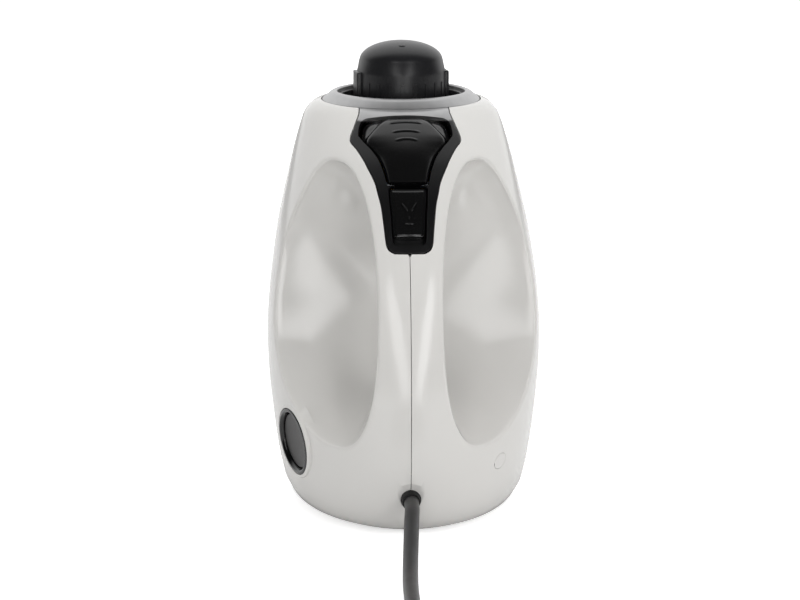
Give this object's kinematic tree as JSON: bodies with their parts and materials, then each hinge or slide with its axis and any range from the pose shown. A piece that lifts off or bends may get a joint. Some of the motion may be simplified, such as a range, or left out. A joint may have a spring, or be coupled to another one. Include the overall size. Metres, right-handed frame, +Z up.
{
  "type": "handheld steam cleaner",
  "caption": "Handheld steam cleaner: moulded body with a loop handle, thumb trigger with child lock, power button, safety filler cap, steam nozzle and mains lead.",
  "frame": {"origin": "on the table, under the middle of the cleaner without its lead; the filler cap's axis passes through it", "axes": "+Z up, +Y forwards to the steam nozzle, +X to the right of a person behind the handle"},
  "size_m": [0.1408, 0.5448, 0.2237],
  "materials": {
    "white_abs": "gloss moulded",
    "silver_paint": "satin metallic paint",
    "black_abs": "gloss moulded",
    "satin_black": "satin moulded",
    "grey_plastic": "satin moulded",
    "black_rubber": "matt",
    "pvc_cord": "satin",
    "aluminium": "cast",
    "steel": "zinc plated",
    "brass": "turned",
    "silicone": "matt",
    "pvc_wire": "satin",
    "nylon": "moulded"
  },
  "bodies": {
    "body": {"boiler_clamp": "steel", "boiler_cradle": "nylon", "boiler_gasket": "silicone", "boiler_lower": "aluminium", "boiler_upper": "aluminium", "button_bezel": "black_abs", "button_spring": "steel", "cap_well": "satin_black", "clamp_screw_1": "steel", "clamp_screw_2": "steel", "collar_frame": "silver_paint", "cord_clamp": "nylon", "cord_coil": "pvc_cord", "core_earth": "pvc_wire", "core_live": "pvc_wire", "core_neutral": "pvc_wire", "filler_neck": "brass", "foot_1": "black_rubber", "foot_2": "black_rubber", "foot_3": "black_rubber", "foot_4": "black_rubber", "heating_element": "steel", "jet_seal": "silicone", "mains_plug": "black_rubber", "nozzle_spout": "satin_black", "plug_pin_1": "brass", "plug_pin_2": "brass", "power_cord": "pvc_cord", "power_switch": "nylon", "riser_pipe": "brass", "shell_left": "white_abs", "shell_right": "white_abs", "shell_screw_1": "steel", "shell_screw_2": "steel", "shell_screw_3": "steel", "shell_screw_4": "steel", "steam_jet": "brass", "steam_pipe": "nylon", "steam_valve": "brass", "strain_relief": "black_rubber", "terminal_block": "nylon", "thermal_fuse": "nylon", "thermostat": "nylon", "trigger_pin": "steel", "valve_spring": "steel", "wire_element": "pvc_wire", "wire_switch": "pvc_wire", "wire_thermostat": "pvc_wire"},
    "trigger": {"trigger": "black_abs"},
    "valve_stem": {"valve_stem": "steel"},
    "child_lock": {"child_lock": "black_abs"},
    "power_button": {"power_button": "grey_plastic"},
    "cap_core": {"cap_plug": "brass", "cap_seal": "silicone", "relief_valve": "steel", "cap_spring": "steel"},
    "cap_knob": {"cap_knob": "satin_black"}
  },
  "joints": [
    {"name": "trigger_press", "type": "hinge", "parent": "body", "child": "trigger", "pos_m": [0, -0.071, 0.1635], "axis": [-1, 0, 0], "range_deg": [0, 6], "stiffness_Nm_per_rad": 0.3, "springref_deg": -8.59},
    {"name": "valve_stem_slide", "type": "slide", "parent": "body", "child": "valve_stem", "axis": [0, 1, 0], "range_m": [0, 0.00125]},
    {"name": "lock_slide", "type": "slide", "parent": "body", "child": "child_lock", "axis": [0, -0.5877, -0.8091], "range_m": [0, 0.003]},
    {"name": "button_press", "type": "slide", "parent": "body", "child": "power_button", "axis": [0.915, 0.387, 0.1137], "range_m": [0, 0.002], "stiffness_N_per_m": 500, "springref_m": -0.004},
    {"name": "cap_lift", "type": "slide", "parent": "body", "child": "cap_core", "axis": [0, 0, 1], "range_m": [0, 0.07]},
    {"name": "cap_turn", "type": "hinge", "parent": "cap_core", "child": "cap_knob", "pos_m": [0, 0, 0.2], "axis": [0, 0, 1], "continuous": true}
  ],
  "couplings": [
    {"joint": "valve_stem_slide", "follows": "trigger_press", "m_per_rad": 0.011}
  ]
}
